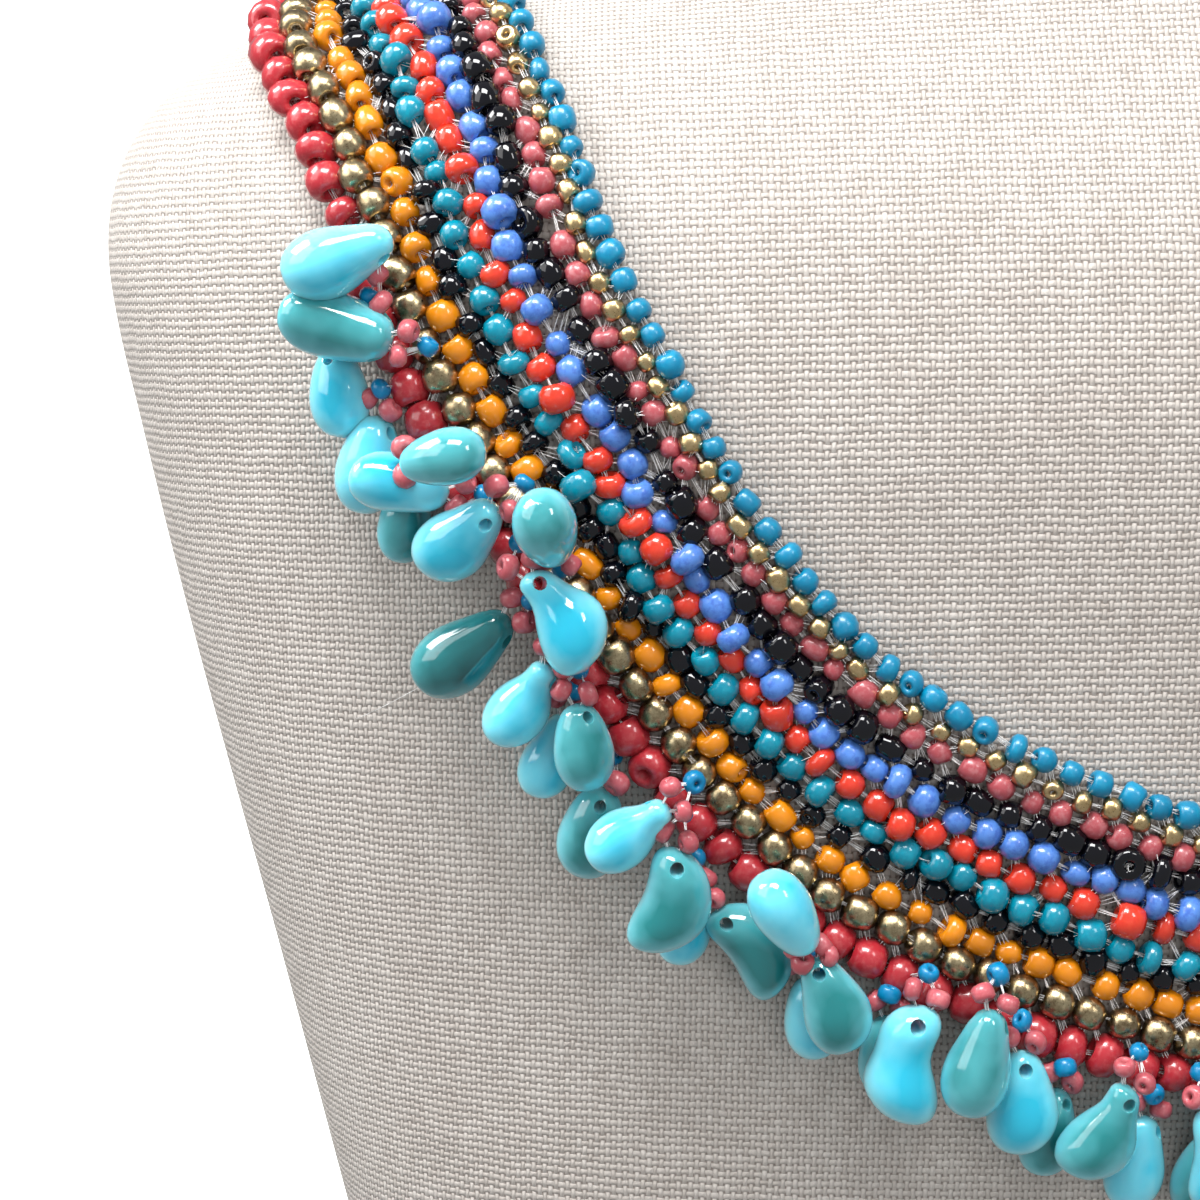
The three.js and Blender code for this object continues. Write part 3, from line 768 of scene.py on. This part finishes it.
def drop_shape(outline, bow):
    """A drop of length 1 along Z, its drilled end at 0, bowed along X, with its hole along Y."""
    bpy.ops.mesh.primitive_uv_sphere_add(segments=28, ring_count=20, radius=0.5)
    drop = bpy.context.object
    along, width = smooth_table(outline, 80).T
    points = np.array([vertex.co for vertex in drop.data.vertices])
    place = points[:, 2] + 0.5
    radius = np.hypot(points[:, 0], points[:, 1])
    direction = points[:, :2] / np.maximum(radius, 1e-9)[:, None]
    reach = np.interp(place, along, width) * drop_width / drop_length / 2
    reach[radius < 1e-6] = 0
    x = direction[:, 0] * reach + bow * (np.sin(place * math.pi) - 0.5 * place)
    y = direction[:, 1] * reach * drop_flatness
    drop.data.vertices.foreach_set("co", np.stack([x, y, place], -1).ravel())
    drop.data.update()
    bow_here = bow * (math.sin(hole_place * math.pi) - 0.5 * hole_place)
    bpy.ops.mesh.primitive_cylinder_add(
        vertices=14, radius=hole_radius, depth=1, location=(bow_here, 0, hole_place),
        rotation=(math.pi / 2, 0, 0),
    )
    drill = bpy.context.object
    cut = drop.modifiers.new("hole", "BOOLEAN")
    cut.object = drill
    cut.solver = "EXACT"
    bpy.context.view_layer.objects.active = drop
    bpy.ops.object.modifier_apply(modifier="hole")
    bpy.data.objects.remove(drill)
    bpy.ops.object.select_all(action="DESELECT")
    drop.select_set(True)
    bpy.ops.object.mode_set(mode="EDIT")
    bpy.ops.mesh.select_all(action="SELECT")
    bpy.ops.mesh.quads_convert_to_tris()
    bpy.ops.object.mode_set(mode="OBJECT")
    points = np.array([vertex.co for vertex in drop.data.vertices])
    faces = np.array([face.vertices for face in drop.data.polygons])
    bpy.ops.object.delete()
    return points, faces


edge_places = stepped_out(row_places["red"], np.full(line_points, border_share * sizes[-1]))
edge_places = stepped_out(edge_places, np.full(line_points, thread_gap + edge_thread / 2))
edge_length = lengths_along(bust_point(edge_places))
edge_middle = edge_length[line_points // 2]


def hung_drops():
    """Where each drop's two ends are and how it is turned, on both sides of the front."""
    found = []
    for side in (-1, 1):
        for along, outside, height, lean, rise, size, colour, shape, turn in drops:
            place = np.array([edge_middle + side * along * fringe_reach])
            point, tangent, outward, normal = (v[0] for v in row_frame(edge_places, place))
            angle, length, lift = math.radians(lean), size * drop_length, rise * drop_width
            flat = math.sqrt(length**2 - lift**2)
            drilled = point + outward * outside * drop_width + normal * height * drop_width
            reach = (outward * math.cos(angle) - side * tangent * math.sin(angle)) * flat
            found.append({
                "drilled": drilled, "direction": unit(reach + normal * lift), "size": size,
                "colour": colour if side < 0 else other_colour[colour], "shape": shape,
                "turn": math.radians(turn) * side, "normal": normal, "tangent": tangent,
                "outward": outward, "outside": outside * drop_width, "side": side,
                "height": height * drop_width, "edge": point,
            })
    return found


fringe = hung_drops()
drop_shapes = {name: drop_shape(drop_outlines[name], bow) for name, bow in drop_bows.items()}


def drops_piece(name, chosen):
    """The chosen drops as one piece, with each point's place in its own drop kept on it."""
    all_points, all_faces, all_places, shift = [], [], [], 0
    for number, drop in enumerate(chosen):
        points, faces = drop_shapes[drop["shape"]]
        z = drop["direction"]
        y = unit(drop["normal"] - z * (drop["normal"] @ z))
        x = np.cross(y, z)
        c, s = math.cos(drop["turn"]), math.sin(drop["turn"])
        axes = np.stack([c * x + s * y, c * y - s * x, z], -1)
        scale = drop["size"] * drop_length
        all_points.append(points * scale @ axes.T + drop["drilled"])
        all_faces.append(faces + shift)
        all_places.append(np.concatenate([points, np.full((len(points), 1), number)], 1))
        shift += len(points)
    places = np.concatenate(all_places)
    mesh = bpy.data.meshes.new(name)
    mesh.from_pydata(np.concatenate(all_points), [], np.concatenate(all_faces).tolist())
    own = mesh.attributes.new("drop_place", "FLOAT_VECTOR", "POINT")
    own.data.foreach_set("vector", places[:, :3].ravel())
    number = mesh.attributes.new("drop_number", "FLOAT", "POINT")
    number.data.foreach_set("value", places[:, 3].copy())
    piece = added_piece(name, mesh, "glass_drops", *fringe_nodes)
    bpy.ops.object.select_all(action="DESELECT")
    piece.select_set(True)
    bpy.context.view_layer.objects.active = piece
    bpy.ops.object.shade_smooth_by_angle(angle=math.radians(40))
    return piece


belly_place = 0.60
belly_half_length = 0.42
belly_half_width = 0.30
rim_start = 0.18
rim_gain = 2.2
rim_most = 0.85
glow_depth = 1.2 * mm


def drop_glass(name, core, skin, edge):
    """Milky glass: full colour in the belly, a paler skin at the sides, and a painted glow where it
    is seen edge-on, as of the light shining through."""
    material = bpy.data.materials.new(name)
    material.use_nodes = True
    tree = material.node_tree
    calc = calculator(tree)
    shader = tree.nodes["Principled BSDF"]
    own = tree.nodes.new("ShaderNodeAttribute")
    own.attribute_name = "drop_place"
    number = tree.nodes.new("ShaderNodeAttribute")
    number.attribute_name = "drop_number"
    split = tree.nodes.new("ShaderNodeSeparateXYZ")
    tree.links.new(own.outputs["Vector"], split.inputs[0])
    across = calc("DIVIDE", split.outputs["X"], belly_half_width)
    along = calc("DIVIDE", calc("SUBTRACT", split.outputs["Z"], belly_place), belly_half_length)
    ring = calc("SQRT", calc("ADD", calc("POWER", across, 2.0), calc("POWER", along, 2.0)))
    apart = tree.nodes.new("ShaderNodeVectorMath")
    apart.operation = "ADD"
    shift = tree.nodes.new("ShaderNodeCombineXYZ")
    tree.links.new(calc("MULTIPLY", number.outputs["Fac"], 3.7), shift.inputs[0])
    tree.links.new(own.outputs["Vector"], apart.inputs[0])
    tree.links.new(shift.outputs[0], apart.inputs[1])
    cloud = noise(tree, apart.outputs[0], 2.6, 2.0, 0.5)
    blurred = calc("ADD", ring, calc("MULTIPLY", calc("SUBTRACT", cloud, 0.5), 1.3))
    share = calc("MULTIPLY", calc("SUBTRACT", blurred, 0.45), 1.6, clamp=True)
    body = blend_colours(tree, share, (*core, 1), (*skin, 1))
    # Painted glow: paler where the drop is seen edge-on, as light shining through thin glass
    rim = tree.nodes.new("ShaderNodeLayerWeight")
    rim.inputs["Blend"].default_value = 0.5
    seen = calc("ADD", rim.outputs["Facing"], calc("MULTIPLY", calc("SUBTRACT", cloud, 0.5), 0.5))
    painted_rim_glow = calc("MULTIPLY", calc("SUBTRACT", seen, rim_start), rim_gain, clamp=True)
    painted_rim_glow = calc("MULTIPLY", painted_rim_glow, rim_most)
    tree.links.new(blend_colours(tree, painted_rim_glow, body, (*edge, 1)), shader.inputs["Base Color"])
    shader.inputs["Roughness"].default_value = 0.10
    shader.inputs["IOR"].default_value = 1.52
    shader.inputs["Coat Weight"].default_value = 0.8
    shader.inputs["Coat Roughness"].default_value = 0.01
    shader.inputs["Subsurface Weight"].default_value = 0.75
    shader.inputs["Subsurface Scale"].default_value = glow_depth
    shader.inputs["Subsurface Radius"].default_value = (0.5, 1.0, 1.0)
    return material


# Colours: core, skin, and the painted glow at the edge-on rim
for colour, *shades in (
    ("sky", (0.02, 0.48, 0.66), (0.16, 0.64, 0.78), (0.30, 0.80, 0.90)),
    ("teal", (0.012, 0.20, 0.21), (0.07, 0.35, 0.38), (0.19, 0.62, 0.70)),
    ("dark", (0.003, 0.075, 0.08), (0.014, 0.15, 0.16), (0.06, 0.34, 0.37)),
):
    piece = drops_piece(f"{colour}_drops", [drop for drop in fringe if drop["colour"] == colour])
    piece.data.materials.append(drop_glass(f"{colour}_drop_glass", *shades))

# Small beads that hang the drops
# Behind each drilled end the thread carries two pink seeds side by side, and further in a bright
# blue one next to the red row. A drop that lies far in over the rows has its seeds beside it.

blue_seed = 2.0 * mm
pink_seed = 2.2 * mm
seed_length = 0.75
seed_step = 0.8 * mm
pink_aside = (1.15 * mm, 1.2 * mm)
second_pink_step = 0.5 * mm
blue_step = 1.7 * mm
far_in_blue_step = -1.36 * mm
blue_drop = 2.2 * mm
highest_seed = 8.6 * mm
far_in_limit = -1.4 * drop_width
beside_forward = 3.4 * mm
beside_out = 3.7 * mm
beside_down = 1.2 * mm
# Distance outside the edge thread, and the least height of a blue seed over the bust there, in mm
seed_base = ([-4.5, -1.2, 0.2], [5.4, 4.6, 1.4])


def seeds_piece(name, size, centres, axes, colour, mottle, mottling):
    """One colour of the small seeds, as a piece with its own glass."""
    count = len(centres)
    widths = size * (1 + dice.normal(0, 0.05, count))
    mesh = bead_meshes(name, centres, bead_axes(axes), widths, widths * seed_length,
                       dice.normal(0.35, 0.2, count).clip(0, 1), dice.normal(0, 0.06, count))
    piece = added_piece(name, mesh, "seed_beads", *fringe_nodes)
    piece.data.materials.append(glass_material(f"{name}_glass", colour, mottle, mottling, 0.3, 0.2))


def column(key):
    """One value of every drop."""
    return np.array([drop[key] for drop in fringe])


directions, normals, outwards, drilled = (
    column(key) for key in ("direction", "normal", "outward", "drilled")
)
across = unit(np.cross(normals, directions))
hole_depth = (column("size") * drop_length * hole_place)[:, None]
seed_height = np.minimum(column("height"), highest_seed) - column("height")
near = drilled - directions * seed_step + normals * seed_height[:, None]
forward = -column("side")[:, None] * column("tangent")
beside = drilled + forward * beside_forward + outwards * beside_out - normals * beside_down
far_in = column("outside") < far_in_limit
near[far_in] = beside[far_in]
pink_centres = [near + across * pink_aside[0],
                near - directions * second_pink_step - across * pink_aside[1]]
back_step = near - directions * np.where(far_in, far_in_blue_step, blue_step)[:, None]
back_step -= normals * ((back_step - column("edge")) * normals).sum(1)[:, None]
back_out = ((back_step - column("edge")) * outwards).sum(1)
base_height = np.interp(back_out / mm, *seed_base) * mm
blue_height = np.maximum(base_height, column("height") + seed_height - blue_drop)
blue_centres = back_step + normals * blue_height[:, None]
seeds_piece("fringe_blue_seeds", blue_seed, blue_centres,
            outwards + dice.normal(0, 0.5, outwards.shape), (0.0, 0.20, 0.42), (0.0, 0.28, 0.47), 0.3)
pink_axes = [directions * 0.7 - across * 0.5 + normals * 0.5, directions * 0.7 + across * 0.8]
seeds_piece("fringe_pink_seeds", pink_seed, np.concatenate(pink_centres),
            np.concatenate(pink_axes) + dice.normal(0, 0.35, (2 * len(fringe), 3)),
            (0.48, 0.09, 0.11), (0.58, 0.21, 0.22), 0.5)

# Clear thread
# Every bead is tied to its neighbours by several turns of thin clear nylon, which shows as pale
# crossing lines in the gaps. One loose end stands off the fringe and curves down over the linen.

thread_width = 0.065 * mm
strands_each = 6
crossing_spread = 0.32 * mm
row_spread = 0.2 * mm
hole_spread = 0.15 * mm
seed_spread = 0.12 * mm
loose_place = 0.70
# Columns: distance outside the edge thread and height over the bust, in mm
loose_points = [(2, 2.5), (5, 4.2), (8, 5.4), (11, 5.8), (14, 5.2), (17, 3.6), (19.5, 1.6)]


def thread_mesh(name, starts, ends):
    """Straight strands with three sides and closed ends, all in one mesh."""
    along = unit(ends - starts)
    helper = np.where(np.abs(along[:, 1:2]) > 0.9, [[1.0, 0, 0]], [[0, 1.0, 0]])
    first = unit(np.cross(along, helper)) * thread_width / 2
    second = np.cross(along, first)
    corners = np.stack([first, 0.87 * second - 0.5 * first, -0.87 * second - 0.5 * first], 1)
    rings = np.concatenate([starts[:, None] + corners, ends[:, None] + corners], 1)
    faces = [(0, 1, 4), (0, 4, 3), (1, 2, 5), (1, 5, 4), (2, 0, 3), (2, 3, 5), (2, 1, 0), (3, 4, 5)]
    faces = np.array(faces)[None] + (np.arange(len(starts)) * 6)[:, None, None]
    mesh = bpy.data.meshes.new(name)
    mesh.from_pydata(rings.reshape(-1, 3), [], faces.reshape(-1, 3).tolist())
    mesh.polygons.foreach_set("use_smooth", [True] * len(mesh.polygons))
    return mesh


def bundle(starts, ends, spread):
    """Several strands for each pair of points, a little apart from each other."""
    starts, ends = (np.repeat(points, strands_each, 0) for points in (starts, ends))
    return (starts + dice.normal(0, spread, starts.shape), ends + dice.normal(0, spread, ends.shape))


def strands_between(inner, outer):
    """Strands from each bead to its two nearest beads in the next row."""
    nearest = np.linalg.norm(inner[:, None] - outer[None], axis=-1).argsort(1)[:, :2]
    return bundle(np.repeat(inner, 2, 0), outer[nearest.ravel()], crossing_spread)


crossings = [strands_between(row_centres[inner], row_centres[outer])
             for inner, outer in zip(row_names, row_names[1:])]
through_rows = [bundle(centres[:-1], centres[1:], row_spread) for centres in row_centres.values()]
hole_centres = drilled + directions * hole_depth
red_nearest = np.linalg.norm(blue_centres[:, None] - row_centres["red"][None], axis=-1).argmin(1)
loops = [bundle(hole_centres, centres, hole_spread) for centres in pink_centres]
loops += [bundle(centres, blue_centres, seed_spread) for centres in pink_centres]
loops += [bundle(blue_centres, row_centres["red"][red_nearest], hole_spread)]
loose_start = np.array([edge_middle - loose_place * fringe_reach])
point, _, outward, normal = (v[0] for v in row_frame(edge_places, loose_start))
loose_end = np.array([point + (outward * out + normal * height) * mm for out, height in loose_points])
loops += [(loose_end[:-1], loose_end[1:])]
nylon = bpy.data.materials.new("clear_nylon")
nylon.use_nodes = True
nylon_shader = nylon.node_tree.nodes["Principled BSDF"]
nylon_shader.inputs["Base Color"].default_value = (0.95, 0.94, 0.93, 1)
nylon_shader.inputs["Roughness"].default_value = 0.25
nylon_shader.inputs["IOR"].default_value = 1.53
for name, strands, nodes in (
    ("crossing_thread", crossings, ("woven_band",)),
    ("row_thread", through_rows, ("woven_band",)),
    ("fringe_thread", loops, fringe_nodes),
):
    mesh = thread_mesh(name, *(np.concatenate(ends) for ends in zip(*strands)))
    added_piece(name, mesh, "seed_beads", *nodes).data.materials.append(nylon)

# Clasp at the back
# A plain slide clasp of brushed metal joins the two ends of the collar.

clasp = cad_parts["back_clasp"]
clasp.data.materials.clear()
clasp.data.materials.append(metal_material(
    "brushed_clasp", (0.72, 0.70, 0.66), (0.50, 0.48, 0.45), 0.28, 0.08, 0.0,
))

# Floor, backdrop and light
# A pale floor that curves up into a pale wall, a small bright window high in front, a weaker one
# beyond the left shoulder, a narrow one on the right, and soft fills from the left and the front.

floor_half = 1.6
floor_back = 0.6
bend_radius = 0.5
wall_height = 2.2
bend_steps = 12
profile = [(-floor_half, 0.0), (floor_back, 0.0)]
for step in range(1, bend_steps + 1):
    angle = step / bend_steps * math.pi / 2
    profile.append((floor_back + bend_radius * math.sin(angle), bend_radius * (1 - math.cos(angle))))
profile.append((floor_back + bend_radius, wall_height))
mesh = bpy.data.meshes.new("backdrop")
mesh.from_pydata(
    [(x, y, z) for y, z in profile for x in (-floor_half, floor_half)], [],
    [(2 * i, 2 * i + 1, 2 * i + 3, 2 * i + 2) for i in range(len(profile) - 1)],
)
mesh.polygons.foreach_set("use_smooth", [True] * len(mesh.polygons))
backdrop = bpy.data.objects.new("backdrop", mesh)
bpy.context.collection.objects.link(backdrop)
paper = bpy.data.materials.new("backdrop_paper")
paper.use_nodes = True
paper_shader = paper.node_tree.nodes["Principled BSDF"]
paper_shader.inputs["Base Color"].default_value = (0.86, 0.86, 0.85, 1)
paper_shader.inputs["Roughness"].default_value = 0.9
paper_shader.inputs["Emission Color"].default_value = (1, 1, 1, 1)
paper_shader.inputs["Emission Strength"].default_value = 0.9
mesh.materials.append(paper)
backdrop.visible_diffuse = False
backdrop.visible_glossy = False


def soft_light(name, place, size, power, towards):
    bpy.ops.object.light_add(type="AREA", location=place)
    light = bpy.context.object
    light.name = name
    light.data.shape = "RECTANGLE"
    light.data.size, light.data.size_y = size
    light.data.energy = power
    light.rotation_mode = "QUATERNION"
    light.rotation_quaternion = (Vector(towards) - Vector(place)).to_track_quat("-Z", "Y")
    return light


soft_light("window", (-0.14, -0.28, 0.60), (0.32, 0.18), 4.5, (-0.05, -0.04, 0.13))
soft_light("shoulder_window", (-0.62, 0.05, 0.66), (0.35, 0.35), 6.2, (-0.08, 0, 0.14))
soft_light("side_fill", (-0.62, -0.22, 0.45), (0.5, 0.5), 2.2, (-0.06, 0, 0.12))
soft_light("right_window", (0.24, -0.45, 0.46), (0.10, 0.20), 0.7, (-0.05, -0.04, 0.12))
front = soft_light("front_fill", (0.02, -0.78, 0.22), (0.5, 0.5), 2.0, (-0.03, 0, 0.12))
front.visible_glossy = False
world = bpy.data.worlds.new("studio")
bpy.context.scene.world = world
world.use_nodes = True
world.node_tree.nodes["Background"].inputs["Color"].default_value = (0.96, 0.98, 1.0, 1)
world.node_tree.nodes["Background"].inputs["Strength"].default_value = 0.34
bpy.context.scene.view_settings.view_transform = "Standard"

# Camera
# A close, level look at the left half of the collar, from a little above and a little to the left.

look_at = Vector((-68 * mm, axis_y - 45 * mm, 108 * mm))
look_from_left = math.radians(4)
look_down = math.radians(6)
look_distance = 275 * mm
view_width = 105.3 * mm
look_along = Vector((
    math.sin(look_from_left) * math.cos(look_down),
    math.cos(look_from_left) * math.cos(look_down),
    -math.sin(look_down),
))
bpy.ops.object.camera_add(location=look_at - look_distance * look_along)
camera = bpy.context.object
camera.rotation_mode = "QUATERNION"
camera.rotation_quaternion = look_along.to_track_quat("-Z", "Y")
camera.data.sensor_width = 36
camera.data.lens = camera.data.sensor_width * look_distance / view_width
bpy.context.scene.camera = camera
